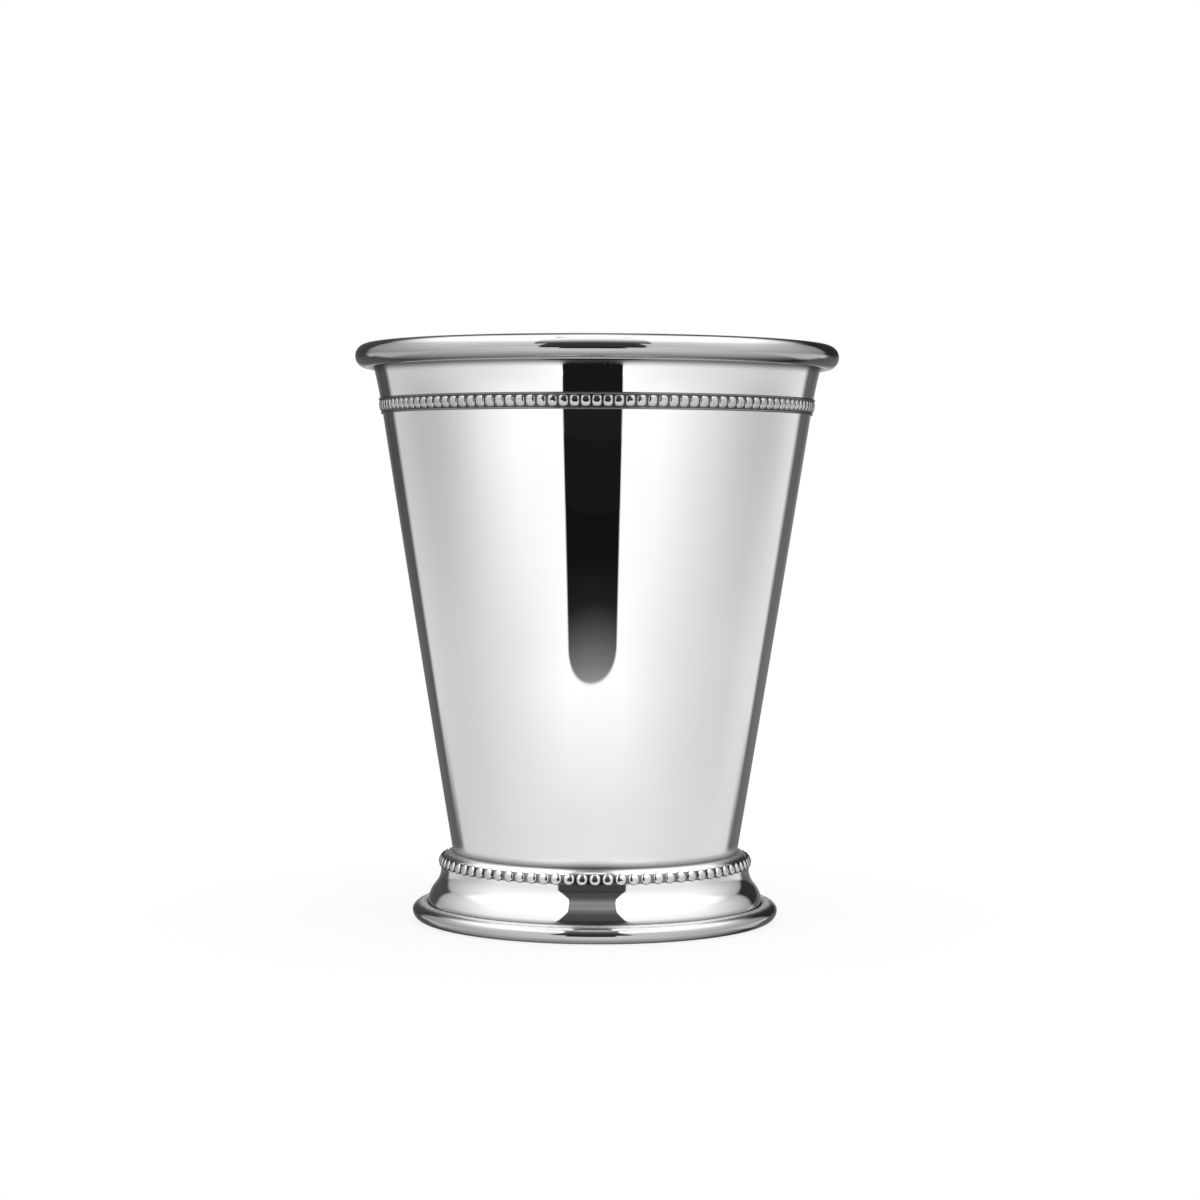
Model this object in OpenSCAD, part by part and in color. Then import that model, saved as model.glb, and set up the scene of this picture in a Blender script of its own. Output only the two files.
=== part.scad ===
// Julep cup: a tapered sheet-metal cup with a wired lip, a beaded band under the lip and a beaded, flared foot.
// The origin is the centre of the plane that the foot stands on, and +Z points up. Lengths are in millimetres.
// Every sheet piece is one outline turned about Z, and both bead rows are loops of one bead.

/* [Cup] */
// Height from the resting plane to the top of the lip
cup_h = 107; // [95:0.5:125]
// Outer diameter over the rolled lip
lip_d = 90; // [82:0.5:100]
// Outer diameter of the wall where the foot grips it
waist_d = 53.3; // [46:0.1:60]
// Thickness of the cup's sheet
sheet = 0.9; // [0.6:0.05:1.2]
// How far the cup's underside lies below the foot's top edge
floor_drop = 3.1; // [2.8:0.1:4]
// Outer radius of the corner between the wall and the floor
corner_r = 3.2; // [2:0.1:3.6]
// How far the wall swells out between the foot and the beaded band
wall_swell = 0.1; // [0:0.02:0.6]
// How far the wall flares out past its own cone, from the band to the lip
lip_flare = 0.3; // [0:0.05:1]

/* [Lip] */
// Diameter of the lip's roll
lip_roll_d = 4.4; // [3.6:0.1:5.6]
// Height of the straight neck that the roll hides, under the middle of the roll
lip_neck = 2.3; // [1.8:0.1:3]

/* [Beaded band] */
// Distance from the top of the lip down to the band's middle
band_drop = 11.45; // [9:0.05:30]
// Width of the band, over its two raised edges
band_w = 2.9; // [2.4:0.05:3.6]
// Number of beads on the band
band_beads = 130; // [100:1:140]
// How far a bead stands out from the wall
band_bead_h = 0.4; // [0.3:0.01:0.6]
// Thickness of the strip between the beads
band_strip = 0.12; // [0.08:0.01:0.2]
// Width of each raised edge
band_edge_w = 0.36; // [0.24:0.02:0.5]
// How far a raised edge stands out from the wall
band_edge_h = 0.3; // [0.2:0.01:0.4]

/* [Foot] */
// Height of the foot's top edge above the resting plane
foot_h = 12.7; // [12.2:0.1:14]
// How far the shoulder stands out from the wall
shoulder_out = 2.2; // [2:0.05:2.5]
// Radius of the rounded shoulder
shoulder_r = 2.4; // [2.2:0.05:2.6]
// Height of the upright stretch under the shoulder
shoulder_drop = 1; // [0.4:0.1:1.6]
// Radius of the hollow bend between the upright stretch and the skirt
skirt_r = 4.2; // [3:0.1:5]
// Radius of the skirt's rounding, from that bend down to the base edge
skirt_round_r = 5.4; // [4.4:0.1:8]
// How far the base edge stands out past the shoulder
foot_out = 5.3; // [4.8:0.05:5.8]
// Thickness of the foot's sheet
foot_sheet = 0.7; // [0.5:0.05:0.9]
// Diameter of the rolled base edge
base_roll_d = 3.6; // [3.4:0.1:3.9]
// Half-width of the oval that the top of the base edge is planished to
base_oval = 2.3; // [2:0.05:2.5]
// Height of the straight neck that the roll hides, over the middle of the roll
base_neck = 2; // [1.8:0.1:2.4]
// Width of the flat that is worn on the underside of the base edge
base_flat = 2.2; // [1.6:0.1:2.6]

/* [Foot beads] */
// Number of beads on the foot
foot_beads = 78; // [60:1:90]
// Height of a bead, measured along the shoulder
foot_bead_d = 2.14; // [1.6:0.02:2.2]
// How far a bead stands out from the shoulder
foot_bead_h = 0.42; // [0.3:0.02:0.6]
// Thickness of the strip between the beads
foot_strip = 0.12; // [0.08:0.01:0.2]
// Height of the row above the centre of the shoulder's rounding, in degrees of that rounding
foot_bead_lift = 15; // [8:1:22]

/* [Fits] */
// Gap between an applied strip and the surface that it is soldered to
seat_gap = 0.05; // [0.04:0.01:0.08]
// Gap between a wire and the sheet that is rolled over it
wire_gap = 0.05; // [0.03:0.01:0.1]
// Gap between the edge of a roll and the sheet that it closes on
roll_gap = 0.12; // [0.08:0.01:0.3]

/* [Hidden] */
$fn = 96;

// Degrees between neighbouring points of an arc
arc_step = 9;
// Steps in which the wall's swell and its flare are drawn
swell_steps = 8;
flare_steps = 5;

// Lip: the roll's outer and inner radius and its centre
lip_a = lip_roll_d / 2;
lip_b = lip_a - sheet;
lip_c = [lip_d / 2 - lip_a, cup_h - lip_a];
neck_r = lip_c.x - lip_b;
neck_z = lip_c.y - lip_neck;
lip_end = acos(-(lip_b - roll_gap) / lip_a);
band_z = cup_h - band_drop;

// Wall: a cone from the waist to the neck, with its swell and flare added
waist_r = waist_d / 2;
wall_slope = (neck_r - lip_flare - waist_r) / (neck_z - foot_h);
wall_lean = atan(wall_slope);

// Base edge: the roll's outer and inner radius and its centre
base_a = base_roll_d / 2;
base_b = base_a - foot_sheet;
base_c = [waist_r + shoulder_out + foot_out - base_a, sqrt(base_a * base_a - base_flat * base_flat / 4)];
base_end = acos(-(base_b - roll_gap) / base_a);

// Shoulder: its centre, and the angle where its top edge meets the wall, with the solder's gap between them
shoulder_c = [waist_r + shoulder_out - shoulder_r, foot_h - shoulder_r];
grip_angle = acos((waist_r + seat_gap - shoulder_c.x) / shoulder_r);

// Skirt: a hollow bend about bend_c, then a rounding about round_c that touches the bend and ends at the neck.
// As a fillet, the bend is at most a share of the largest one that fits between the upright stretch and the neck.
neck_end = [base_c.x - base_b, base_c.y + base_neck];
bend_start = [waist_r + shoulder_out, shoulder_c.y - shoulder_drop];
run = neck_end - bend_start;
bend_room_share = 0.9;
bend_r = min(skirt_r, bend_room_share * run * run / 2 / run.x);
bend_c = bend_start + [bend_r, 0];
reach = neck_end - bend_c;
reach_angle = atan2(reach.y, reach.x) + 360;
far_r = bend_r + skirt_round_r;
skirt_lean = reach_angle - 180
    - acos((reach * reach + far_r * far_r - skirt_round_r * skirt_round_r) / 2 / norm(reach) / far_r);
round_c = bend_c - far_r * [cos(skirt_lean), sin(skirt_lean)];
neck_lean = atan2(neck_end.y - round_c.y, neck_end.x - round_c.x);
neck_lean_inside = acos((neck_end.x - foot_sheet - round_c.x) / (skirt_round_r - foot_sheet));

// Solder: how far it fills up the hollow between the cup's corner and the shoulder
solder_fill_share = 0.45;

// Beads: places along one pitch where a bead is drawn, how high it stands there, and how much of it is crown
bead_place_shares = [0, 0.14, 0.5, 0.86];
bead_lift_shares = [0, 0.74, 1, 0.74];
bead_crown_share = 0.42;

// Points of an arc about c with radius r, or an oval's two radii, from angle a to angle b
function arc(c, r, a, b) =
    let (n = max(2, ceil(abs(b - a) / arc_step)), two = is_list(r) ? r : [r, r])
    [for (i = [0:n]) let (t = a + (b - a) * i / n) c + [two.x * cos(t), two.y * sin(t)]];

// Outer radius of the wall at height z
function wall_r(z) =
    let (u = max(0, min(1, (z - foot_h) / (band_z - foot_h))), v = max(0, (z - band_z) / (neck_z - band_z)))
    waist_r + (z - foot_h) * wall_slope + 4 * wall_swell * u * (1 - u) + lip_flare * v * v;

// Points of the wall between its corner and its neck, moved inwards by inset
function wall_line(inset) = concat(
    [for (i = [1:swell_steps]) let (z = corner_z + (band_z - corner_z) * i / swell_steps) [wall_r(z) - inset, z]],
    [for (i = [1:flare_steps]) let (z = band_z + (neck_z - band_z) * i / flare_steps) [wall_r(z) - inset, z]]);

// The same list from its last point to its first
function turned(p) = [for (i = [len(p) - 1:-1:0]) p[i]];

// The same list without its first point, for an arc that starts where the last one ends
function joined(p) = [for (i = [1:len(p) - 1]) p[i]];

// Floor: its underside, where the corner's arc runs into the wall, and the arc's centre
floor_z = foot_h - floor_drop;
corner_z = floor_z + corner_r * (1 - sin(wall_lean));
corner_c = [wall_r(corner_z) - corner_r * cos(wall_lean), floor_z + corner_r];

// Cup: floor, wall and outward roll of one sheet
module cup_body() {
    color("silver")
    rotate_extrude()
    polygon(concat(
        [[0, floor_z]],
        arc(corner_c, corner_r, -90, -wall_lean),
        wall_line(0),
        arc(lip_c, lip_b, 180, -lip_end),
        arc(lip_c, lip_a, -lip_end, 180),
        turned(wall_line(sheet / cos(wall_lean))),
        arc(corner_c, corner_r - sheet, -wall_lean, -90),
        [[0, floor_z + sheet]]));
}

// Wire that the lip is rolled over
module lip_wire() {
    color("gray")
    rotate_extrude()
    translate(lip_c)
    circle(lip_b - wire_gap);
}

// Ring of beads about Z: one closed skin through a section [r, z] at each angle
module beaded_ring(angles, sections) {
    n = len(sections);
    m = len(sections[0]);
    points = [for (i = [0:n - 1]) for (p = sections[i]) [p.x * cos(angles[i]), p.x * sin(angles[i]), p.y]];
    faces = [for (i = [0:n - 1]) for (j = [0:m - 1])
        let (next = ((i + 1) % n) * m, up = (j + 1) % m)
        each [[i * m + j, i * m + up, next + up], [i * m + j, next + up, next + j]]];
    polyhedron(points, faces);
}

// Angles of the sections of a row of beads, and how high the bead stands at each
function bead_angles(count) = [for (i = [0:count - 1]) for (share = bead_place_shares) (i + share) * 360 / count];
function bead_lifts(count) = [for (i = [0:count - 1]) for (share = bead_lift_shares) share];

// Section of the band, from the foot of its back round the front: lift is 0 between beads, 1 at a bead's middle
function band_section(lift) =
    let (low = band_z - band_w / 2, high = band_z + band_w / 2,
        crown = (band_w / 2 - band_edge_w) * bead_crown_share,
        top = band_strip + lift * (band_bead_h - band_strip),
        outline = [[0, low], [band_edge_h, low], [band_strip, low + band_edge_w], [top, band_z - crown],
            [top, band_z + crown], [band_strip, high - band_edge_w], [band_edge_h, high], [0, high]])
    [for (p = outline) [wall_r(p.y) + seat_gap + p.x, p.y]];

// Beaded band: a strip with two raised edges and a row of low beads between them
module upper_bead_band() {
    color("silver")
    beaded_ring(bead_angles(band_beads), [for (lift = bead_lifts(band_beads)) band_section(lift)]);
}

// Foot: shoulder, skirt and outward-rolled base edge of one sheet, worn flat underneath
module foot_skirt() {
    flat_angle = asin(base_c.y / base_a);
    oval_c = [base_c.x + base_a - base_oval, base_c.y];
    oval_end = acos((neck_end.x + roll_gap - oval_c.x) / base_oval);
    color("silver")
    rotate_extrude()
    polygon(concat(
        arc(shoulder_c, shoulder_r, grip_angle, 0),
        arc(bend_c, bend_r, 180, 180 + skirt_lean),
        joined(arc(round_c, skirt_round_r, skirt_lean, neck_lean)),
        arc(base_c, base_b, 180, 360 + base_end),
        arc(oval_c, [base_oval, base_a], oval_end, 0),
        joined(arc(base_c, base_a, 360, 360 - flat_angle)),
        arc(base_c, base_a, 180 + flat_angle, 180),
        arc(round_c, skirt_round_r - foot_sheet, neck_lean_inside, skirt_lean),
        joined(arc(bend_c, bend_r + foot_sheet, 180 + skirt_lean, 180)),
        arc(shoulder_c, shoulder_r - foot_sheet, 0, grip_angle)));
}

// Wire that the foot's base edge is rolled over
module foot_wire() {
    color("gray")
    rotate_extrude()
    translate(base_c)
    circle(base_b - wire_gap);
}

// Section of the foot's beaded wire, each point given by its height over the shoulder and its angle on it
function foot_bead_section(lift) =
    let (half = foot_bead_d / 2 / shoulder_r * 180 / PI,
        crown = half * bead_crown_share,
        top = foot_strip + lift * (foot_bead_h - foot_strip),
        outline = [[0, -half], [foot_strip, -half], [top, -crown], [top, crown], [foot_strip, half], [0, half],
            [0, half / 3], [0, -half / 3]])
    [for (p = outline) shoulder_c + (shoulder_r + seat_gap + p.x)
        * [cos(foot_bead_lift + p.y), sin(foot_bead_lift + p.y)]];

// Beaded wire on the foot's shoulder: round beads on a thin strip that follows the shoulder
module foot_bead_band() {
    color("silver")
    beaded_ring(bead_angles(foot_beads), [for (lift = bead_lifts(foot_beads)) foot_bead_section(lift)]);
}

// Solder that holds the cup's lower corner in the foot's shoulder
module foot_solder() {
    inner_r = shoulder_r - foot_sheet - seat_gap;
    outer_r = corner_r + seat_gap;
    rim_z = shoulder_c.y + inner_r * sin(grip_angle);
    color("darkgray")
    rotate_extrude()
    polygon(concat(
        arc(corner_c, outer_r, -90 * solder_fill_share, asin((rim_z - corner_c.y) / outer_r)),
        arc(shoulder_c, inner_r, grip_angle, 0)));
}

cup_body();
lip_wire();
upper_bead_band();
foot_skirt();
foot_bead_band();
foot_wire();
foot_solder();
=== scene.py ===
# %% [markdown]
# # A julep cup in nickel plate
#
# A julep cup is a small footed beaker of sheet metal. A spinner presses a disc of brass over a wooden form on a
# lathe, rolls its rim over a wire, solders a foot and two rows of beads to it, and has it plated and polished.
# This lesson dresses the cup's solids for a picture: it keeps their sizes and gives each piece a fine surface.
#
# The solids come first, as a fixed frame. Everything here is in metres, in the frame's own axes.

# %% Load the frame
import math

import bmesh
import bpy
from bpy_extras.object_utils import world_to_camera_view
from mathutils import Matrix, Vector


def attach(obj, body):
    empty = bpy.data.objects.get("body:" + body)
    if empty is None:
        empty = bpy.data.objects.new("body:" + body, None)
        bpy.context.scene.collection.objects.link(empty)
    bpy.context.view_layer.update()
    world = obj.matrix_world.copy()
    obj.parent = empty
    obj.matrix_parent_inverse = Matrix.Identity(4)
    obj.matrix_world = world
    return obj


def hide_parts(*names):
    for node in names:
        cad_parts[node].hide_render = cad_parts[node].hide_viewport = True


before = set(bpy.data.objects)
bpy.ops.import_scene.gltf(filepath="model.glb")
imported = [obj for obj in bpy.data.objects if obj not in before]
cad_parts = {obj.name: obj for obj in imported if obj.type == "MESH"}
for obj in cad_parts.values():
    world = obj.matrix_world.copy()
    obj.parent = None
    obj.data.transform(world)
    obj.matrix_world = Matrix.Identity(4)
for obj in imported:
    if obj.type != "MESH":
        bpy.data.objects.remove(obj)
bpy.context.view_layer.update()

# %% [markdown]
# ## The camera
#
# The photograph was taken from a little above the cup's middle, a long arm's length away. The ellipses of the
# lip, the band and the foot give the camera's height, distance and tilt, so it is placed by numbers, not by eye.

# %% Camera
MM = 0.001
FRAME_PIXELS = 1200
LENS_PIXELS = 2806.6
camera_data = bpy.data.cameras.new("camera")
camera_data.sensor_width = 36
camera_data.lens = camera_data.sensor_width * LENS_PIXELS / FRAME_PIXELS
camera_data.clip_start = 0.05
camera_data.clip_end = 20
camera = bpy.data.objects.new("camera", camera_data)
camera_place = Vector((0, -525.05, 79.57)) * MM
camera_yaw, camera_pitch, camera_roll = -0.0792, -2.18, 0.246
camera.matrix_world = (
    Matrix.Translation(camera_place)
    @ Matrix.Rotation(math.radians(camera_yaw), 4, "Z")
    @ Matrix.Rotation(math.radians(90 + camera_pitch), 4, "X")
    @ Matrix.Rotation(math.radians(camera_roll), 4, "Z")
)
bpy.context.scene.collection.objects.link(camera)
bpy.context.scene.camera = camera
bpy.context.scene.view_settings.view_transform = "Standard"
print("lens", round(camera_data.lens, 1), "mm")

# %% [markdown]
# ## Colours and nodes
#
# A colour picker shows sRGB values, but shaders add up light, so each hex colour is turned linear once, here.
# A single helper adds a shader node with its settings and links. Everything later is written with these two.

# %% Two helpers for shaders
def linear(hex_colour):
    """An sRGB hex colour as a linear RGBA tuple."""
    parts = [int(hex_colour[i:i + 2], 16) / 255 for i in (0, 2, 4)]
    return tuple(p / 12.92 if p <= 0.04045 else ((p + 0.055) / 1.055) ** 2.4 for p in parts) + (1.0,)


def add(tree, kind, inputs=None, stops=None, **settings):
    """Adds a shader node and returns its outputs. Inputs are values or sockets, and stops are a ramp's."""
    made = tree.nodes.new("ShaderNode" + kind)
    for name, value in settings.items():
        setattr(made, name, value)
    for key, value in (inputs or {}).items():
        if isinstance(value, bpy.types.NodeSocket):
            tree.links.new(value, made.inputs[key])
        else:
            made.inputs[key].default_value = value
    for i, (place, colour) in enumerate(stops or []):
        band = made.color_ramp.elements
        stop = band[i] if i < 2 else band.new(place)
        stop.position, stop.color = place, linear(colour)
    return made.outputs


# %% [markdown]
# ## The studio
#
# Polished metal has no look of its own: it shows the room. The photographer stood the cup in a white tent, with
# light from above, a slit at the front for the camera and dark cloth behind the cup at both sides. The world
# shader draws that tent by direction: azimuth is 0 towards the camera and positive to its right.

# %% Directions
world = bpy.data.worlds.new("white_tent")
bpy.context.scene.world = world
world.use_nodes = True
tent = world.node_tree
tent.nodes.clear()
axes = add(tent, "SeparateXYZ", {0: add(tent, "TexCoord")["Generated"]})
towards_camera = add(tent, "Math", {0: axes["Y"], 1: -1.0}, operation="MULTIPLY")[0]
azimuth = add(tent, "Math", {0: axes["X"], 1: towards_camera}, operation="ARCTAN2")[0]
elevation = add(tent, "Math", {0: axes["Z"]}, operation="ARCSINE")[0]
print("tent nodes:", len(tent.nodes))

# %% Tones round the tent
# a row holds azimuths in degrees, each with a grey as two hexadecimal digits
ROUND_THE_TENT = {
    # the table top far out, half-way and close to the cup, as the wall shows it from top to bottom
    "far_table": [(-176, "a8"), (-165, "62"), (-155, "48"), (-142, "4c"), (-137, "c6"), (-125, "c2"), (-110, "b8"),
                  (-95, "bd"), (-85, "c9"), (-75, "d8"), (-65, "e9"), (-55, "f5"), (-45, "ff"), (35, "ff"),
                  (45, "f6"), (55, "ea"), (65, "e0"), (75, "d5"), (85, "c8"), (98, "c0"), (108, "c2"), (118, "ca"),
                  (126, "d6"), (136, "de"), (142, "60"), (155, "5a"), (165, "78"), (176, "b0")],
    "mid_table": [(-176, "c0"), (-168, "68"), (-142, "54"), (-137, "d2"), (-118, "cd"), (-106, "cb"), (-90, "d0"),
                  (-70, "dc"), (-52, "e7"), (-35, "f4"), (-20, "ff"), (18, "ff"), (41, "ed"), (61, "df"),
                  (80, "d6"), (100, "d1"), (118, "db"), (136, "df"), (141, "66"), (168, "74"), (176, "c0")],
    "near_table": [(-176, "b0"), (-168, "64"), (-136, "58"), (-130, "c8"), (-105, "d1"), (-89, "d3"), (-65, "db"),
                   (-43, "e0"), (0, "e4"), (43, "e0"), (69, "d9"), (89, "d7"), (115, "d8"), (130, "d4"),
                   (137, "60"), (168, "70"), (176, "b0")],
    # the table under the cup's rolled edges
    "under_table": [(-180, "48"), (-145, "50"), (-124, "98"), (-106, "b8"), (-60, "e8"), (-20, "ff"), (20, "ff"),
                    (60, "e8"), (106, "b4"), (124, "80"), (140, "2c"), (180, "30")],
    # the tent's wall low down and high up
    "low_wall": [(-176, "b0"), (-168, "50"), (-140, "44"), (-135, "98"), (-105, "be"), (-75, "e4"), (-37, "ea"),
                 (37, "ea"), (75, "e4"), (105, "be"), (133, "94"), (138, "2c"), (168, "34"), (176, "b0")],
    "high_wall": [(-176, "90"), (-168, "50"), (-141, "44"), (-136, "b0"), (-110, "da"), (-84, "fa"), (-70, "ff"),
                  (70, "ff"), (84, "fa"), (110, "da"), (134, "a8"), (139, "2c"), (168, "34"), (176, "90")],
}
turn_share = add(tent, "MapRange", {0: azimuth, 1: -math.pi, 2: math.pi})[0]
tones = {name: add(tent, "ValToRGB", {0: turn_share}, [((angle + 180) / 360, grey * 3) for angle, grey in row])[0]
         for name, row in ROUND_THE_TENT.items()}
print("tones round the tent:", len(tones))

# %% [markdown]
# The wall of the cup leans outwards, so it mirrors the table top: its upper end shows the far part, its lower end
# the part close by. At one azimuth these lie at different elevations, so the lean is taken off before blending.

# %% Where one tone gives way to the next
WALL_LEAN = 9.2
half_turn = add(tent, "Math", {0: azimuth, 1: 0.5}, operation="MULTIPLY")[0]
half_cosine = add(tent, "Math", {0: half_turn}, operation="COSINE")[0]
level = add(tent, "Math", {0: half_cosine, 1: math.radians(2 * WALL_LEAN), 2: elevation},
            operation="MULTIPLY_ADD")[0]
# each share is 0 at its first angle and 1 at its second, in degrees
CLIMBS = {
    "off_the_bottom": (elevation, -85, -33, "LINEAR"),
    "near_to_mid": (level, -7.2, -4, "LINEAR"),
    "mid_to_far": (level, -3, 1.5, "LINEAR"),
    "out_from_under": (elevation, -33, -26, "SMOOTHSTEP"),
    "up_the_wall": (elevation, -2, 26, "LINEAR"),
    "table_to_wall": (level, 3, 8, "SMOOTHSTEP"),
    "front_roof": (elevation, 24, 54, "SMOOTHSTEP"),
    "side_roof": (elevation, 27, 52, "SMOOTHSTEP"),
    "back_roof": (elevation, 50, 78, "SMOOTHSTEP"),
    "below_the_opening": (elevation, -8, -10, "SMOOTHSTEP"),
    "over_the_sill": (elevation, -10.5, -9.5, "SMOOTHSTEP"),
    "under_the_top": (elevation, 80, 78, "SMOOTHSTEP"),
}
shares = {name: add(tent, "MapRange", {0: value, 1: math.radians(first), 2: math.radians(last)},
                    interpolation_type=smooth)[0] for name, (value, first, last, smooth) in CLIMBS.items()}
# the roof, which is the lamp, sinks lower at the front than at the sides and the back
shares["roof"] = shares["front_roof"]
for part, low, high in (("side_roof", 0.62, 0.86), ("back_roof", 0.12, 0.34)):
    frontal = add(tent, "MapRange", {0: half_cosine, 1: low, 2: high})[0]
    shares["roof"] = add(tent, "Mix", {0: frontal, 2: shares[part], 3: shares["roof"]}, data_type="FLOAT")[0]
print("shares by height:", len(shares))

# %% [markdown]
# At the front the tent is open for the camera, and the dark room shows. The opening is wide at the camera's height
# and narrows upwards. Below it a slit runs down to the table and ends in a round. Reflected in the wall, that slit
# is the dark stripe down the middle of the cup. Reflected in the foot, the opening is the dark hourglass.

# %% The slit, in degrees
SLIT_MIDDLE, SLIT_HALF, SLIT_END, SLIT_ROUND = -2.25, 15.75, -21.38, 1.02
FAR_BELOW = 10  # in heights of the round, as far as the script needs to look
left, right = math.radians(SLIT_MIDDLE - SLIT_HALF), math.radians(SLIT_MIDDLE + SLIT_HALF)
bottom, deep = math.radians(SLIT_END), math.radians(SLIT_END - FAR_BELOW * SLIT_ROUND)
across = add(tent, "MapRange", {0: azimuth, 1: left, 2: right, 3: -1.0, 4: 1.0}, clamp=False)[0]
below_end = add(tent, "MapRange", {0: elevation, 1: bottom, 2: deep, 3: 0.0, 4: float(FAR_BELOW)})[0]
from_middle = add(tent, "CombineXYZ", {0: across, 1: below_end})[0]
from_middle = add(tent, "VectorMath", {0: from_middle}, operation="LENGTH")["Value"]
in_slit = add(tent, "MapRange", {0: from_middle, 1: 1.03, 2: 0.97})[0]
shares["slit"] = add(tent, "Math", {0: in_slit, 1: shares["below_the_opening"]}, operation="MULTIPLY")[0]
print("the slit ends at", SLIT_END, "degrees")

# %% The opening
# its width is measured along X, so that its edges run straight up and over, as cloth hangs
half_low, half_high, middle = (
    add(tent, "MapRange", {0: elevation, 1: math.radians(low), 2: math.radians(high), 3: first, 4: last})[0]
    for low, high, first, last in ((2, 43, 0.418, 0.254), (43, 80, 0.0, -0.088), (0, 75, -0.034, -0.019)))
opening_half = add(tent, "Math", {0: half_low, 1: half_high}, operation="ADD")[0]
across = axes["X"]
for step, other in (("SUBTRACT", middle), ("DIVIDE", opening_half), ("ABSOLUTE", 0.0)):
    across = add(tent, "Math", {0: across, 1: other}, operation=step)[0]
in_front = add(tent, "Math", {0: towards_camera, 1: 0.0}, operation="GREATER_THAN")[0]
shares["opening"] = add(tent, "MapRange", {0: across, 1: 1.025, 2: 0.975})[0]
for limit in (in_front, shares["under_the_top"], shares["over_the_sill"]):
    shares["opening"] = add(tent, "Math", {0: shares["opening"], 1: limit}, operation="MULTIPLY")[0]
print("tent nodes:", len(tent.nodes))

# %% Tones up the slit and the opening
for name, low, high, stops in (
        ("slit", -22.5, -16.5, [(0.0, "929292"), (0.1, "727272"), (0.18, "585858"), (0.25, "3e3e3e"),
                                (0.32, "202020"), (0.5, "121212"), (0.8, "101010"), (1.0, "1c1c1c")]),
        ("opening", -10, 80, [(0.0, "3e3e3e"), (0.3, "464646"), (0.5, "4e4e4e"), (0.66, "6a6a6a"),
                              (0.76, "868686"), (1.0, "808080")])):
    height = add(tent, "MapRange", {0: elevation, 1: math.radians(low), 2: math.radians(high)})[0]
    tones[name] = add(tent, "ValToRGB", {0: height}, stops)[0]
print("tones:", len(tones))

# %% Stack the tones
ROOF_GLOW = 1.8  # brighter than white cloth
tones["straight_down"], tones["roof"] = linear("a8a8a8"), (ROOF_GLOW, ROOF_GLOW, ROOF_GLOW, 1.0)
# the tone that is made, the tones where the share is 0 and where it is 1, and the share
for made, where_0, where_1, share in (
        ("under", "straight_down", "under_table", "off_the_bottom"),
        ("table", "near_table", "mid_table", "near_to_mid"),
        ("table", "table", "far_table", "mid_to_far"),
        ("table", "under", "table", "out_from_under"),
        ("wall", "low_wall", "high_wall", "up_the_wall"),
        ("tent", "table", "wall", "table_to_wall"),
        ("tent", "tent", "roof", "roof"),
        ("tent", "tent", "slit", "slit"),
        ("tent", "tent", "opening", "opening")):
    tones[made] = add(tent, "Mix", {0: shares[share], 6: tones[where_0], 7: tones[where_1]}, data_type="RGBA")[2]
print("tent nodes:", len(tent.nodes))

# %% [markdown]
# Three kinds of ray look at the world. Camera rays see white, as in the photograph. Glossy rays see the tent.
# All others, which light the matt floor, see an even fill, at which a colour renders about as it is written.

# %% Who sees what
FILL, GLOSS_GAIN, WHITE = 0.82, 1.09, (1.0, 1.0, 1.0, 1.0)
ray = add(tent, "LightPath")
glossy = add(tent, "VectorMath", {0: tones["tent"], "Scale": GLOSS_GAIN}, operation="SCALE")[0]
seen = (FILL, FILL, FILL, 1.0)
for kind, sight in (("Is Glossy Ray", glossy), ("Is Camera Ray", WHITE)):
    seen = add(tent, "Mix", {0: ray[kind], 6: seen, 7: sight}, data_type="RGBA")[2]
add(tent, "OutputWorld", {0: add(tent, "Background", {0: seen, 1: 1.0})[0]})
print("tent nodes:", len(tent.nodes))

# %% A softbox overhead, for the floor's soft shadow
key_data = bpy.data.lights.new("overhead_softbox", "AREA")
key_data.shape, key_data.size, key_data.energy = "DISK", 0.9, 3.2
key = bpy.data.objects.new("overhead_softbox", key_data)
key.location = (0.1, -0.15, 1.1)
key.visible_glossy = False
key.visible_camera = False
bpy.context.scene.collection.objects.link(key)
print("softbox at", [round(c, 2) for c in key.location], "m")

# %% [markdown]
# ## Three small cards
#
# A direction alone can't tell the lip from the foot, though the lip stands ten centimetres higher. Photographers
# place cards by hand for such things, and this cell places three. Only reflections see them.
# The sill is dark and lets the lip see the opening's lower edge. The table card is dark and lets the flared neck
# see the slit. The rim card stands just above the lip and gives the roll its bright upper edge.

# %% Cards
CARD_GLOW = 1.75  # as bright as the tent's tones look


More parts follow.
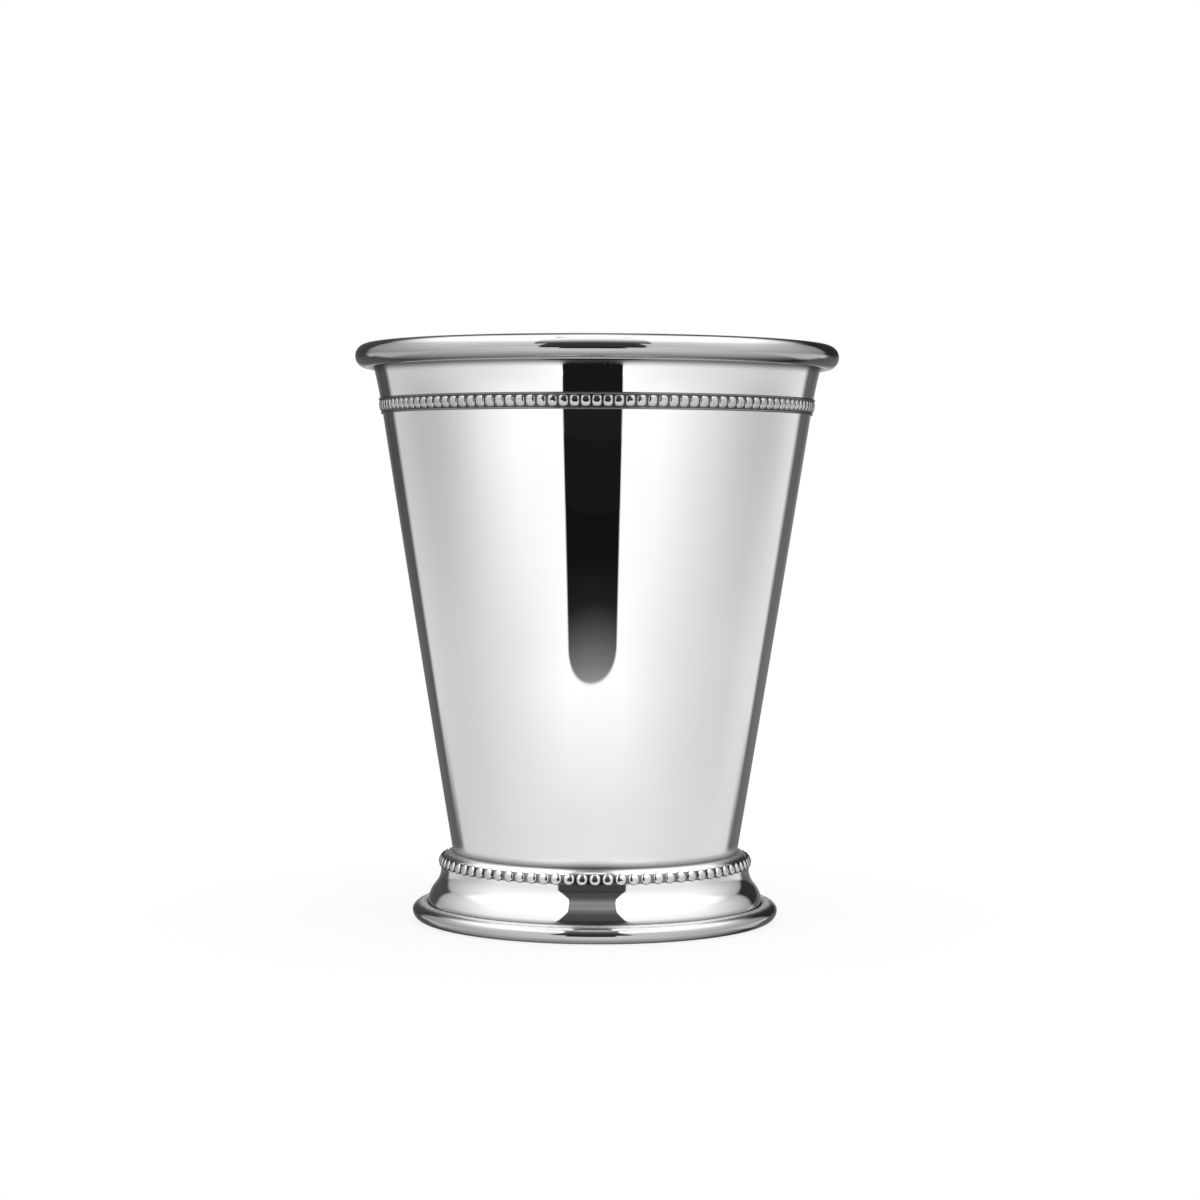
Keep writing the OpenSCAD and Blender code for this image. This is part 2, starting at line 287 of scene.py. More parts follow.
def make_card(name, corners, stops):
    """A flat card from four corners in millimetres, with tones from its first edge to its last."""
    mesh = bpy.data.meshes.new(name)
    bm = bmesh.new()
    made = bmesh.ops.create_grid(bm, x_segments=1, y_segments=1, size=0.5)["verts"]
    for vert in made:
        ends = (corners[0], corners[1]) if vert.co.y < 0 else (corners[3], corners[2])
        vert.co = Vector(ends[0] if vert.co.x < 0 else ends[1]) * MM
    bm.to_mesh(mesh)
    bm.free()
    card = bpy.data.objects.new(name, mesh)
    card.visible_camera = card.visible_diffuse = card.visible_shadow = card.visible_transmission = False
    bpy.context.scene.collection.objects.link(card)
    paint = bpy.data.materials.new(name + "_tone")
    paint.use_nodes = True
    tree = paint.node_tree
    tree.nodes.clear()
    axes = add(tree, "SeparateXYZ", {0: add(tree, "TexCoord")["Object"]})
    first, last = corners[0][2] * MM, corners[3][2] * MM
    share = add(tree, "MapRange", {0: axes["Z"], 1: first, 2: max(last, first + MM), 3: 0.0, 4: 1.0})[0]
    glow = add(tree, "ValToRGB", {0: share}, stops)[0]
    lit = add(tree, "Emission", {0: glow, 1: CARD_GLOW})[0]
    add(tree, "OutputMaterial", {0: lit})
    mesh.materials.append(paint)
    print(name, "stands from", corners[0][2], "to", corners[3][2], "mm up")


make_card("sill_card", [(-140, -300, 21), (117, -300, 21), (112, -300, 62), (-135, -300, 62)],
          [(0.0, "2c2c2c"), (1.0, "2c2c2c")])
make_card("slit_table_card", [(-98, -325, 1), (72, -325, 1), (57, -260, 1), (-77, -260, 1)],
          [(0.0, "101010"), (1.0, "101010")])
make_card("rim_card", [(-19, -58, 110), (16, -58, 110), (16, -58, 190), (-19, -58, 190)],
          [(0.0, "303030"), (0.05, "6a6a6a"), (0.095, "a4a4a4"), (0.155, "d4d4d4"), (0.265, "ffffff"),
           (1.0, "ffffff")])

# %% [markdown]
# ## The floor
#
# A plain pale table top. It is matt, and fades into pure white away from the cup, as the photograph's does, while
# close to the foot it keeps the soft shadow that tells the eye that the cup stands on something.

# %% Floor
FLOOR_RADIUS, FADE_FROM, FADE_TO, NEAR_WHITE = 12, 0.04, 0.12, 0.8
floor_mesh = bpy.data.meshes.new("floor")
bm = bmesh.new()
bmesh.ops.create_circle(bm, cap_ends=True, segments=96, radius=FLOOR_RADIUS)
bm.to_mesh(floor_mesh)
bm.free()
floor = bpy.data.objects.new("floor", floor_mesh)
floor.visible_glossy = False
bpy.context.scene.collection.objects.link(floor)

# painted board: the eye sees an even, pale, matt top
table_top = bpy.data.materials.new("white_painted_table_top")
table_top.use_nodes = True
tree = table_top.node_tree
tree.nodes.clear()
place = add(tree, "TexCoord")["Object"]
away = add(tree, "VectorMath", {0: place}, operation="LENGTH")["Value"]
fade = add(tree, "MapRange", {0: away, 1: FADE_FROM, 2: FADE_TO, 3: NEAR_WHITE, 4: 1.0},
           interpolation_type="SMOOTHSTEP")[0]
matt = add(tree, "BsdfDiffuse", {0: linear("fbfbfb"), 1: 0.0})[0]
white = add(tree, "Emission", {0: WHITE, 1: 1.0})[0]
add(tree, "OutputMaterial", {0: add(tree, "MixShader", {0: fade, 1: matt, 2: white})[0]})
floor_mesh.materials.append(table_top)
print("floor fades to white from", FADE_FROM, "to", FADE_TO, "m")

# %% [markdown]
# ## Finishes
#
# Bright nickel is a hard white metal, plated a few hundredths of a millimetre thick on the brass and buffed on a
# cloth wheel. Buffing leaves very fine lines round the cup, because the cup turns on a lathe.
# They are under a tenth of a millimetre apart, too fine for this picture, so they are drawn about half a
# millimetre apart and very shallow.

# %% A finish for turned, plated metal
CLOUD_WEIGHT, CALM, BUSY = 0.6, 0.36, 0.64  # how far clouds outweigh lines, and the range that the mix fills


def turned_metal(name, dark, light, smooth, rough, line_mm, depth_um, cloud_mm=22.0, corners=()):
    """Metal with lines round its axis: two sRGB tones and two roughnesses that drift between clouds and lines.
    A corner is a circle round the axis (radius, height, reach, shade, roughness), the first three in millimetres.
    There the light tone is scaled by the shade, which paints shade below 1 and a highlight above 1."""
    finish = bpy.data.materials.new(name)
    finish.use_nodes = True
    tree = finish.node_tree
    tree.nodes.clear()
    place = add(tree, "TexCoord")["Object"]
    axes = add(tree, "SeparateXYZ", {0: place})
    flat = add(tree, "CombineXYZ", {0: axes["X"], 1: axes["Y"], 2: 0.0})[0]
    radius = add(tree, "VectorMath", {0: flat}, operation="LENGTH")["Value"]
    section = add(tree, "CombineXYZ", {0: radius, 1: 0.0, 2: axes["Z"]})[0]
    lines = add(tree, "TexNoise", {"Vector": section, "Scale": 1 / (line_mm * MM), "Detail": 3.0,
                                   "Roughness": 0.6})[0]
    clouds = add(tree, "TexNoise", {"Vector": place, "Scale": 1 / (cloud_mm * MM), "Detail": 4.0,
                                    "Roughness": 0.55})[0]
    mixed = add(tree, "Math", {0: clouds, 1: CLOUD_WEIGHT}, operation="MULTIPLY")[0]
    mixed = add(tree, "Math", {0: lines, 1: 1 - CLOUD_WEIGHT, 2: mixed}, operation="MULTIPLY_ADD")[0]
    share = add(tree, "MapRange", {0: mixed, 1: CALM, 2: BUSY})[0]
    colour = add(tree, "Mix", {0: share, 6: linear(dark), 7: linear(light)}, data_type="RGBA")[2]
    roughness = add(tree, "MapRange", {0: share, 3: rough, 4: smooth})[0]
    # each corner paints its shade into the colour round a circle: darker below 1, a highlight above 1
    for at_radius, at_height, extent, shade, dullness in corners:
        circle = Vector((at_radius, 0, at_height)) * MM
        away = add(tree, "VectorMath", {0: section, 1: circle}, operation="DISTANCE")["Value"]
        beyond_painted_corner = add(tree, "MapRange", {0: away, 1: 0.0, 2: extent * MM},
                    interpolation_type="SMOOTHSTEP")[0]
        painted_shade_and_highlight = tuple(shade * c for c in linear(light)[:3]) + (1.0,)
        colour = add(tree, "Mix", {0: beyond_painted_corner, 6: painted_shade_and_highlight, 7: colour}, data_type="RGBA")[2]
        roughness = add(tree, "Mix", {0: beyond_painted_corner, 2: dullness, 3: roughness}, data_type="FLOAT")[0]
    bump = add(tree, "Bump", {"Strength": 1.0, "Distance": depth_um * 1e-6, "Height": lines})[0]
    surface = add(tree, "BsdfPrincipled", {"Base Color": colour, "Metallic": 1.0, "Roughness": roughness,
                                           "Normal": bump})[0]
    add(tree, "OutputMaterial", {0: surface})
    return finish


# %% Corners of the outside: radius, height and reach in millimetres, the shade painted there, and roughness
# the wheel can't reach into creases, so they stay rougher, and painted shade darkens them: under the lip, round the
# foot's joint and in the groove over the base edge
LIP_CREASE_PAINTED_SHADE, FOOT_JOINT_PAINTED_SHADE = (41.5, 102.8, 1.6, 0.1, 0.22), (26.8, 12.65, 1.4, 0.45, 0.4)
BASE_GROOVE_PAINTED_SHADE = (31.35, 3.2, 0.9, 0.4, 0.22)
# the joint is brushed clean of flux after soldering and stays satin, so it shows no sharp reflections
JOINT_EDGES = (27.1, 12.9, 2.3, 1.0, 0.4)
# the rolled edges' own creases, darkened by painted shade, and the base edge's top, which the hammer's marks leave
# satin and a painted highlight makes pale
LIP_ROLL_CREASE_PAINTED_SHADE, BASE_ROLL_CREASE_PAINTED_SHADE = (41.7, 102.9, 1.5, 0.25, 0.22), (31.3, 3.2, 0.5, 0.3, 0.3)
BASE_ROLL_TOP_PAINTED_HIGHLIGHT = (32.3, 3.4, 1.6, 1.35, 0.5)
print("joint between cup and foot at radius", FOOT_JOINT_PAINTED_SHADE[0], "and height", FOOT_JOINT_PAINTED_SHADE[1], "mm")

# %% The finishes
# buffed to a mirror: the eye sees the room in it, hardly dimmed
mirror_nickel = turned_metal("buffed_nickel_plate", "f4f4f4", "f7f7f7", 0.01, 0.018, 0.5, 0.02,
                             corners=(LIP_CREASE_PAINTED_SHADE, JOINT_EDGES, FOOT_JOINT_PAINTED_SHADE, BASE_GROOVE_PAINTED_SHADE))
# rolled edges are buffed by hand and rub on everything, so they are a little rougher; their greyer colour is painted
# shade
edge_nickel = turned_metal("hand_buffed_rolled_edge_painted_shade", "bebebe", "c7c7c7", 0.05, 0.08, 0.4, 0.08,
                           corners=(LIP_ROLL_CREASE_PAINTED_SHADE, BASE_ROLL_TOP_PAINTED_HIGHLIGHT, BASE_ROLL_CREASE_PAINTED_SHADE))
# inside, the sheet keeps the spinning tool's fine grooves, which give the eye a soft sheen. They are drawn 0.8 mm
# apart, coarser than they are, so that they show
satin_nickel = turned_metal("satin_spun_inside", "d3d3d2", "dededd", 0.24, 0.3, 0.8, 1.2, 40.0)
# under the foot nobody polishes, so it looks dull and grey
dull_nickel = turned_metal("dull_nickel_underside", "a9a9a8", "b9b9b8", 0.32, 0.42, 0.6, 2.0, 40.0)
# bead strips are rolled, then buffed with the cup, so each bead shows the room a little blurred
bead_nickel = turned_metal("buffed_nickel_beads", "d0d0d0", "d9d9d9", 0.1, 0.13, 0.6, 0.05)
# the band's pillows are flatter, and painted shade makes them a little greyer
pillow_nickel = turned_metal("pillows_greyed_by_painted_shade", "c6c6c6", "d0d0d0", 0.07, 0.11, 0.6, 0.05)
# the edges of the band and the web of the beaded wire are greyed by painted shade
rail_nickel = turned_metal("strip_edges_greyed_by_painted_shade", "7c7c7c", "8e8e8e", 0.12, 0.18, 0.5, 0.2)
web_nickel = turned_metal("web_of_beaded_wire_greyed_by_painted_shade", "707070", "848484", 0.14, 0.22, 0.5, 0.3)
# between the beads, where no wheel reaches, the plate has tarnished, and painted shade makes it nearly black
recess_nickel = turned_metal("tarnish_and_painted_shade_between_beads", "4c4c4c", "646464", 0.22, 0.34, 0.5, 0.6)
# wire is drawn through a die and left bare: dull grey steel
steel_wire = turned_metal("drawn_steel_wire", "8a8a88", "a3a3a1", 0.3, 0.42, 0.3, 1.5)
print("finishes:", len(bpy.data.materials))

# %% [markdown]
# Soft solder sets dull and slightly grainy, because tin and lead crystals freeze at different moments.

# %% Solder
solder = turned_metal("soft_solder", "7f8083", "a4a5a8", 0.38, 0.55, 1.1, 3.0, cloud_mm=1.3)
print("finishes:", len(bpy.data.materials))

# %% [markdown]
# ## Drawing a turned shape
#
# A spinner thinks in outlines, and so does this script. A pen starts at a point of the half-section, runs
# straight to the next point, or swings about a centre. Each move is a bmesh operator on the outline's last
# vertex: a vertex that is extruded draws a line, and a vertex that is spun draws an arc. The outline is then
# spun once about Z. Radius is X and height is Z, in millimetres.

# %% Pen and lathe
def pen(start):
    """A new outline and its last vertex."""
    bm = bmesh.new()
    return bm, bmesh.ops.create_vert(bm, co=Vector((start[0], 0, start[1])) * MM)["vert"][0]


def run(bm, last, points):
    """Straight on through each point (radius, height)."""
    for radius, height in points:
        last = bmesh.ops.extrude_vert_indiv(bm, verts=[last])["verts"][0]
        last.co = Vector((radius, 0, height)) * MM
    return last


def swing(bm, last, centre, degrees, steps):
    """An arc about a centre, anticlockwise in the half-section where degrees is positive."""
    arc = bmesh.ops.spin(bm, geom=[last], cent=Vector((centre[0], 0, centre[1])) * MM, axis=(0, 1, 0),
                         dvec=(0, 0, 0), angle=-math.radians(degrees), steps=steps, use_duplicate=False)
    return [g for g in arc["geom_last"] if isinstance(g, bmesh.types.BMVert)][0]


def lathe(bm, steps, merge=0.0005):
    """Spins an outline once about Z and closes its seam and its poles."""
    bmesh.ops.spin(bm, geom=bm.verts[:] + bm.edges[:], cent=(0, 0, 0), axis=(0, 0, 1), dvec=(0, 0, 0),
                   angle=math.tau, steps=steps, use_merge=True, use_duplicate=False)
    bmesh.ops.remove_doubles(bm, verts=bm.verts[:], dist=merge * MM)
    bmesh.ops.recalc_face_normals(bm, faces=bm.faces[:])


def finish_piece(bm, name, node, finishes, chooser=None, sharp=40):
    """Makes the object: smooth, with its finishes, riding on the cup's one body in place of a CAD node."""
    mesh = bpy.data.meshes.new(name)
    for face in bm.faces:
        face.smooth = True
        face.material_index = chooser(face) if chooser else 0
    bm.to_mesh(mesh)
    bm.free()
    mesh.set_sharp_from_angle(angle=math.radians(sharp))
    for finish in finishes:
        mesh.materials.append(finish)
    piece = bpy.data.objects.new(name, mesh)
    bpy.context.scene.collection.objects.link(piece)
    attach(piece, "root")
    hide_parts(node)
    triangles = sum(len(p.vertices) - 2 for p in mesh.polygons)
    print(f"{name}: {triangles} triangles, height {min(v.co.z for v in mesh.vertices) * 1000:.2f} to "
          f"{max(v.co.z for v in mesh.vertices) * 1000:.2f} mm")


# %% [markdown]
# ## The cup
#
# One sheet of brass, nearly a millimetre thick: a flat floor, a small rounded corner, a tapered wall that swells
# very slightly, and a thick lip. The lip is the sheet itself, rolled outwards over a wire. A straight neck runs
# up behind the roll. The half-section below follows the solid's own sizes, with finer steps.

# %% Sizes of the cup, in millimetres
CUP_H, LIP_R, SHEET = 107.0, 45.0, 0.9
WAIST_R, FOOT_H, FLOOR_DROP, CORNER_R = 26.65, 12.7, 3.1, 3.2
WALL_SWELL, LIP_FLARE, LIP_ROLL_R, LIP_NECK = 0.1, 0.3, 2.2, 2.3
BAND_Z = CUP_H - 11.45
ROLL_GAP, SEAT_GAP = 0.12, 0.05
BORDER = 0.3  # finishes change this far below the edge of a part

lip_hole_r = LIP_ROLL_R - SHEET
lip_c = (LIP_R - LIP_ROLL_R, CUP_H - LIP_ROLL_R)
neck_r, neck_z = lip_c[0] - lip_hole_r, lip_c[1] - LIP_NECK
lip_end = math.degrees(math.acos(-(lip_hole_r - ROLL_GAP) / LIP_ROLL_R))
wall_slope = (neck_r - LIP_FLARE - WAIST_R) / (neck_z - FOOT_H)
wall_lean = math.degrees(math.atan(wall_slope))


def wall_r(z):
    """Outer radius of the wall at a height."""
    swell = max(0, min(1, (z - FOOT_H) / (BAND_Z - FOOT_H)))
    flare = max(0, (z - BAND_Z) / (neck_z - BAND_Z))
    return WAIST_R + (z - FOOT_H) * wall_slope + 4 * WALL_SWELL * swell * (1 - swell) + LIP_FLARE * flare ** 2


floor_z = FOOT_H - FLOOR_DROP
corner_z = floor_z + CORNER_R * (1 - math.sin(math.radians(wall_lean)))
corner_c = (wall_r(corner_z) - CORNER_R * math.cos(math.radians(wall_lean)), floor_z + CORNER_R)
print(f"wall leans {wall_lean:.2f} degrees, lip roll ends at {lip_end:.0f} degrees")

# %% Outline and mesh of the cup
WALL_STEPS, SPIN_STEPS, FLOOR_RING = 44, 288, 8
CRISP_BELOW, CRISP_ABOVE = 0.06, 0.02
wall_heights = [corner_z + (neck_z - corner_z) * i / WALL_STEPS for i in range(1, WALL_STEPS + 1)]
inset = SHEET / math.cos(math.radians(wall_lean))

bm, tip = pen((0, floor_z))
tip = run(bm, tip, [(FLOOR_RING, floor_z), (corner_c[0], floor_z)])
tip = swing(bm, tip, corner_c, 90 - wall_lean, 12)
tip = run(bm, tip, [(wall_r(z), z) for z in wall_heights[:-1]])
# two close points keep the neck's edge crisp under smooth shading
tip = run(bm, tip, [(wall_r(neck_z - CRISP_BELOW), neck_z - CRISP_BELOW), (neck_r, neck_z + CRISP_ABOVE),
                    (neck_r, lip_c[1])])
tip = swing(bm, tip, lip_c, -(180 + lip_end), 36)
angle = math.radians(-lip_end)
tip = run(bm, tip, [(lip_c[0] + LIP_ROLL_R * math.cos(angle), lip_c[1] + LIP_ROLL_R * math.sin(angle))])
tip = swing(bm, tip, lip_c, 180 + lip_end, 60)
tip = run(bm, tip, [(wall_r(z) - inset, z) for z in reversed(wall_heights)])
tip = run(bm, tip, [(corner_c[0] + (CORNER_R - SHEET) * math.cos(math.radians(wall_lean)),
                     corner_c[1] - (CORNER_R - SHEET) * math.sin(math.radians(wall_lean)))])
tip = swing(bm, tip, corner_c, wall_lean - 90, 10)
run(bm, tip, [(FLOOR_RING, floor_z + SHEET), (0, floor_z + SHEET)])
lathe(bm, SPIN_STEPS)


def cup_finish(face):
    """0 polished outside, 1 rolled edge, 2 satin inside, 3 dull under the floor, within the foot."""
    spot = face.calc_center_median() / MM
    radius = math.hypot(spot.x, spot.y)
    from_roll = math.hypot(radius - lip_c[0], spot.z - lip_c[1])
    if spot.z > neck_z - BORDER and from_roll < LIP_ROLL_R + 0.05 and radius > neck_r - SHEET - 0.01:
        return 1
    middle = wall_r(max(spot.z, corner_z)) - inset / 2
    if radius < middle and spot.z > floor_z + SHEET / 2:
        return 2
    return 3 if spot.z < FOOT_H - BORDER else 0


finish_piece(bm, "cup_shell", "cup_body",
             [mirror_nickel, edge_nickel, satin_nickel, dull_nickel], cup_finish)

# %% [markdown]
# ## The beaded band
#
# A strip of metal is run between two engraved rollers, which press it into a row of small pillows between two
# raised edges. It is bent round the wall and soldered on. Buffing brightens the pillows; painted shade greys the
# pillows a little and the edges more, and the hollows between them are dark with tarnish and painted shade, which is
# what makes the row readable from afar.

# %% Strip of the band
BAND_W, BAND_BEADS, BAND_BEAD_H, BAND_STRIP, BAND_EDGE_W, BAND_EDGE_H = 2.9, 130, 0.4, 0.12, 0.36, 0.3
EDGE_FOOT, STANDS_OUT = 0.02, 0.04
low, high, edge_r = BAND_Z - BAND_W / 2, BAND_Z + BAND_W / 2, BAND_EDGE_W / 2


def on_wall(out, z):
    """A point at a distance out from the wall."""
    return wall_r(z) + SEAT_GAP + out, z


bm, tip = pen(on_wall(0, low))
tip = run(bm, tip, [on_wall(BAND_EDGE_H - edge_r, low)])
tip = swing(bm, tip, on_wall(BAND_EDGE_H - edge_r, low + edge_r), 180, 8)
tip = run(bm, tip, [on_wall(BAND_STRIP, low + BAND_EDGE_W + EDGE_FOOT), on_wall(BAND_STRIP, BAND_Z),
                    on_wall(BAND_STRIP, high - BAND_EDGE_W - EDGE_FOOT),
                    on_wall(BAND_EDGE_H - edge_r, high - BAND_EDGE_W)])
tip = swing(bm, tip, on_wall(BAND_EDGE_H - edge_r, high - edge_r), 180, 8)
run(bm, tip, [on_wall(0, high), on_wall(0, low)])
lathe(bm, 2 * BAND_BEADS)


def strip_finish(face):
    """0 edge, greyed by painted shade, 1 hollow, dark with tarnish and painted shade."""
    spot = face.calc_center_median() / MM
    out = math.hypot(spot.x, spot.y) - wall_r(spot.z) - SEAT_GAP
    return 0 if out > BAND_STRIP + STANDS_OUT else 1


finish_piece(bm, "upper_band_strip", "upper_bead_band", [rail_nickel, recess_nickel],
             strip_finish)

# %% [markdown]
# One pillow is a small grid whose points are lifted into a dome. It is fuller across than up and down, because
# the roller's pockets are cut square. Its rim is a rounded square. The row is the pillow, copied round the axis.

# %% Pillows of the band
def bead_row(bm, name, node, finishes, count, sharp=75):
    """Copies one bead round Z and finishes the row. The copies keep the finishes of the bead's faces."""
    bmesh.ops.spin(bm, geom=bm.verts[:] + bm.edges[:] + bm.faces[:], cent=(0, 0, 0), axis=(0, 0, 1),
                   dvec=(0, 0, 0), angle=math.tau * (count - 1) / count, steps=count - 1, use_duplicate=True)
    finish_piece(bm, name, node, finishes, lambda face: face.material_index, sharp)


PILLOW_W, PILLOW_H, PILLOW_FULL_ACROSS, PILLOW_FULL_UP, RIM_SQUARE = 1.7, 2.04, 12, 3.6, 3
pillow_rise = BAND_BEAD_H - BAND_STRIP
# where the grid's columns and rows go, as shares of half a pillow, and how high the columns stand
COLUMNS = {-1: -1, -0.75: -0.9, -0.5: -0.72, -0.25: -0.36, 0: 0, 0.25: 0.36, 0.5: 0.72, 0.75: 0.9, 1: 1}
bm = bmesh.new()
bmesh.ops.create_grid(bm, x_segments=8, y_segments=7, size=1.0)
for vert in bm.verts:
    u = COLUMNS[round(vert.co.x, 2)]
    v = math.sin(vert.co.y * math.pi / 2)
    rim = max(abs(u), abs(v))
    corner = rim / (abs(u) ** RIM_SQUARE + abs(v) ** RIM_SQUARE) ** (1 / RIM_SQUARE) if rim else 1
    dome = (1 - abs(u) ** PILLOW_FULL_ACROSS) * (1 - abs(v) ** PILLOW_FULL_UP)
    vert.co = Vector((u * corner * PILLOW_W / 2, v * corner * PILLOW_H / 2, dome * pillow_rise)) * MM
pillow_c = on_wall(BAND_STRIP, BAND_Z)
stand = Matrix.Rotation(math.radians(90 + wall_lean), 4, "X")
bmesh.ops.transform(bm, matrix=Matrix.Translation(Vector((0, -pillow_c[0], pillow_c[1])) * MM) @ stand,
                    verts=bm.verts[:])
bmesh.ops.recalc_face_normals(bm, faces=bm.faces[:])
bead_row(bm, "upper_band_pillows", "upper_bead_band", [pillow_nickel], BAND_BEADS)

# %% [markdown]
# ## The foot
#
# The foot is spun from a second sheet: a rounded shoulder that grips the cup's corner, a hollow bend, a skirt
# that rounds outwards a little, and a base edge rolled over a second wire. The cup stands on the roll, which has
# worn flat underneath. The top of the roll is planished to an oval.

# %% Sizes of the foot, in millimetres
SHOULDER_OUT, SHOULDER_R, SHOULDER_DROP, SKIRT_R, SKIRT_ROUND_R = 2.2, 2.4, 1.0, 4.2, 5.4
FOOT_OUT, FOOT_SHEET, BASE_R, BASE_OVAL, BASE_NECK, BASE_FLAT = 5.3, 0.7, 1.8, 2.3, 2.0, 2.2

base_hole_r = BASE_R - FOOT_SHEET
base_c = (WAIST_R + SHOULDER_OUT + FOOT_OUT - BASE_R, math.sqrt(BASE_R ** 2 - BASE_FLAT ** 2 / 4))
base_end = math.degrees(math.acos(-(base_hole_r - ROLL_GAP) / BASE_R))
shoulder_c = (WAIST_R + SHOULDER_OUT - SHOULDER_R, FOOT_H - SHOULDER_R)
grip = math.degrees(math.acos((WAIST_R + SEAT_GAP - shoulder_c[0]) / SHOULDER_R))
neck = Vector((base_c[0] - base_hole_r, base_c[1] + BASE_NECK))
bend_c = Vector((WAIST_R + SHOULDER_OUT + SKIRT_R, shoulder_c[1] - SHOULDER_DROP))
reach = neck - bend_c
far_r = SKIRT_R + SKIRT_ROUND_R
lean = (math.degrees(math.atan2(reach.y, reach.x)) + 180 - math.degrees(math.acos(
    (reach.length_squared + far_r ** 2 - SKIRT_ROUND_R ** 2) / (2 * reach.length * far_r))))
round_c = bend_c - far_r * Vector((math.cos(math.radians(lean)), math.sin(math.radians(lean))))
neck_lean = math.degrees(math.atan2(neck.y - round_c.y, neck.x - round_c.x))
neck_lean_inside = math.degrees(math.acos((neck.x - FOOT_SHEET - round_c.x) / (SKIRT_ROUND_R - FOOT_SHEET)))
print(f"skirt leans {lean:.1f} degrees at most and {neck_lean:.1f} degrees at the base edge")


def polar(centre, radius, degrees):
    """A point on a circle, or on an oval with two radii."""
    across, up = radius if isinstance(radius, tuple) else (radius, radius)
    turn = math.radians(degrees)
    return centre[0] + across * math.cos(turn), centre[1] + up * math.sin(turn)


# %% Outline and mesh of the foot
# the roll is widest a little above its wire, because the hammer pushed its top down and outwards
BASE_WIDEST, BASE_TOP, BASE_UNDER = 1.78, base_c[1] + BASE_R, 1.7
oval_c = (base_c[0] + BASE_R - BASE_OVAL, BASE_WIDEST)
under_c = (base_c[0] + BASE_R - BASE_UNDER, BASE_WIDEST)
oval_end = math.degrees(math.acos((neck.x + ROLL_GAP - oval_c[0]) / BASE_OVAL))
flat_angle = math.degrees(math.asin(base_c[1] / BASE_R))
OVAL_STEPS, UNDER_STEPS, FOOT_SPIN_STEPS = 34, 20, 256

bm, tip = pen(polar(shoulder_c, SHOULDER_R, grip))
tip = swing(bm, tip, shoulder_c, -grip, 28)
tip = run(bm, tip, [(bend_c.x - SKIRT_R, bend_c.y)])
tip = swing(bm, tip, bend_c, lean, 16)
tip = swing(bm, tip, round_c, neck_lean - lean, 16)
tip = run(bm, tip, [(neck.x, base_c[1])])
tip = swing(bm, tip, base_c, 180 + base_end, 26)
tip = run(bm, tip, [polar(oval_c, (BASE_OVAL, BASE_TOP - BASE_WIDEST), oval_end * (1 - i / OVAL_STEPS))
                    for i in range(OVAL_STEPS + 1)])
tip = run(bm, tip, [polar(under_c, (BASE_UNDER, BASE_WIDEST), -90 * i / UNDER_STEPS)
                    for i in range(1, UNDER_STEPS + 1)])
tip = run(bm, tip, [polar(base_c, BASE_R, 180 + flat_angle)])
tip = swing(bm, tip, base_c, -flat_angle, 10)
tip = run(bm, tip, [polar(round_c, SKIRT_ROUND_R - FOOT_SHEET, neck_lean_inside)])
tip = swing(bm, tip, round_c, lean - neck_lean_inside, 12)
tip = swing(bm, tip, bend_c, -lean, 12)
tip = run(bm, tip, [(shoulder_c[0] + SHOULDER_R - FOOT_SHEET, shoulder_c[1])])
tip = swing(bm, tip, shoulder_c, grip, 14)
run(bm, tip, [polar(shoulder_c, SHOULDER_R, grip)])
lathe(bm, FOOT_SPIN_STEPS)


def foot_finish(face):
    """0 polished outside, 1 base edge, 2 dull inside."""
    spot = face.calc_center_median() / MM
    radius = math.hypot(spot.x, spot.y)
    outward = face.normal.x * spot.x + face.normal.y * spot.y
    if spot.z < base_c[1] + BASE_R + 0.02 and radius > neck.x + 0.05:
        return 1
    if outward < 0 and spot.z < FOOT_H - BORDER:
        return 2
    return 0


finish_piece(bm, "foot_shell", "foot_skirt", [mirror_nickel, edge_nickel, dull_nickel],
             foot_finish)

# %% [markdown]
# ## The foot's beads
#
# A beaded wire runs round the shoulder: flattened pearls on a thin web. A knurling wheel cuts half-round wire into
# beads, so each keeps the wire's round from top to bottom and is flatter from side to side. Here a short line is
# spun into a disc, the disc's points are lifted into that dome, and the pearl is tipped on to the shoulder and
# copied round.

# %% Web of the beaded wire
FOOT_BEADS, FOOT_BEAD_D, FOOT_BEAD_H, FOOT_STRIP, FOOT_BEAD_LIFT = 78, 2.14, 0.45, 0.03, 15.0
WEB_SHARE = 0.8  # of the pearls' height
half = math.degrees(FOOT_BEAD_D / 2 / SHOULDER_R) * WEB_SHARE
web_in, web_out = SHOULDER_R + SEAT_GAP, SHOULDER_R + SEAT_GAP + FOOT_STRIP
bm, tip = pen(polar(shoulder_c, web_in, FOOT_BEAD_LIFT - half))
tip = run(bm, tip, [polar(shoulder_c, web_out, FOOT_BEAD_LIFT - half)])
tip = swing(bm, tip, shoulder_c, 2 * half, 8)
tip = run(bm, tip, [polar(shoulder_c, web_in, FOOT_BEAD_LIFT + half)])
swing(bm, tip, shoulder_c, -2 * half, 8)
lathe(bm, 3 * FOOT_BEADS)
finish_piece(bm, "foot_bead_web", "foot_bead_band", [web_nickel])
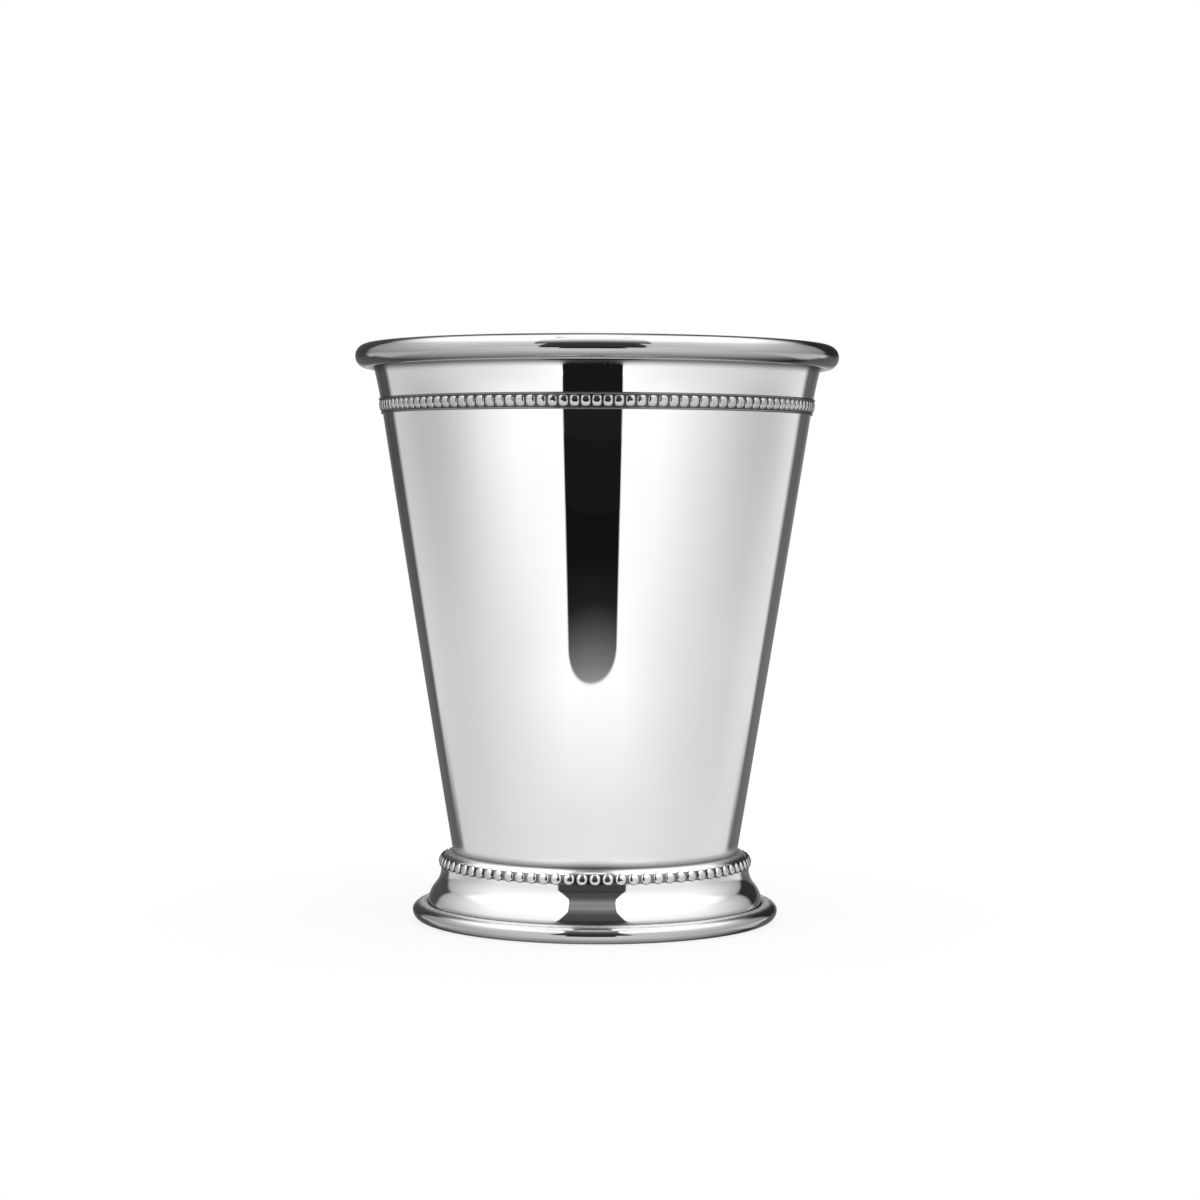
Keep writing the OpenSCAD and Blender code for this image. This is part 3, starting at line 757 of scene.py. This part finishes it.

# %% Pearls of the beaded wire
# radii of the rings as shares of a pearl's radius. The outermost one takes the dark finish of tarnish and painted
# shade, which draws its outline
PEARL_RINGS, PEARL_SIDES, PEARL_TIP = (0.31, 0.59, 0.8, 0.91, 1.0), 14, 12.0
PEARL_OUTLINE, PEARL_FULL_ACROSS = 0.95, 4.5
pearl_rise = FOOT_BEAD_H - FOOT_STRIP
bm = bmesh.new()
tip = bmesh.ops.create_vert(bm, co=(0, 0, 0))["vert"][0]
tip = run(bm, tip, [(share * FOOT_BEAD_D / 2, 0) for share in PEARL_RINGS])
lathe(bm, PEARL_SIDES)
for face in bm.faces:
    face.material_index = int(max(vert.co.xy.length for vert in face.verts) > PEARL_OUTLINE * FOOT_BEAD_D / 2 * MM)
for vert in bm.verts:
    u, v = vert.co.x / (FOOT_BEAD_D / 2 * MM), vert.co.y / (FOOT_BEAD_D / 2 * MM)
    slice_rise = max(0.0, 1 - v * v)
    side = min(1.0, abs(u) / math.sqrt(slice_rise)) if slice_rise > 1e-6 else 1.0
    vert.co.z = pearl_rise * slice_rise * (1 - side ** PEARL_FULL_ACROSS) * MM
pearl_c = polar(shoulder_c, web_out, FOOT_BEAD_LIFT)
tip_out = Matrix.Rotation(math.radians(90 - PEARL_TIP), 4, "X")
bmesh.ops.transform(bm, matrix=Matrix.Translation(Vector((0, -pearl_c[0], pearl_c[1])) * MM) @ tip_out,
                    verts=bm.verts[:])
bmesh.ops.recalc_face_normals(bm, faces=bm.faces[:])
bead_row(bm, "foot_pearls", "foot_bead_band", [bead_nickel, recess_nickel], FOOT_BEADS)

# %% [markdown]
# ## The pieces that stay as they are
#
# The two wires inside the rolls and the ring of solder keep their solids. They only get a finish.

# %% Finishes for the kept solids
for node_name, finish in (("lip_wire", steel_wire), ("foot_wire", steel_wire), ("foot_solder", solder)):
    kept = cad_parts[node_name]
    kept.data.materials.clear()
    kept.data.materials.append(finish)
    print(node_name, "gets", finish.name)

# %% [markdown]
# ## Three spots in the picture
#
# Two known spots of the lip and one of the base edge should land where the photograph has them; their pixels are
# printed here.

# %% Three spots in pixels
for label, spot in (("lip, left", (-45, 0, 104.8)), ("lip, right", (45, 0, 104.8)),
                    ("foot, front", (0, -34.15, 1.7))):
    seen_at = world_to_camera_view(bpy.context.scene, camera, Vector(spot) * MM)
    print(label, "at pixel", round(seen_at.x * FRAME_PIXELS, 1), round((1 - seen_at.y) * FRAME_PIXELS, 1))
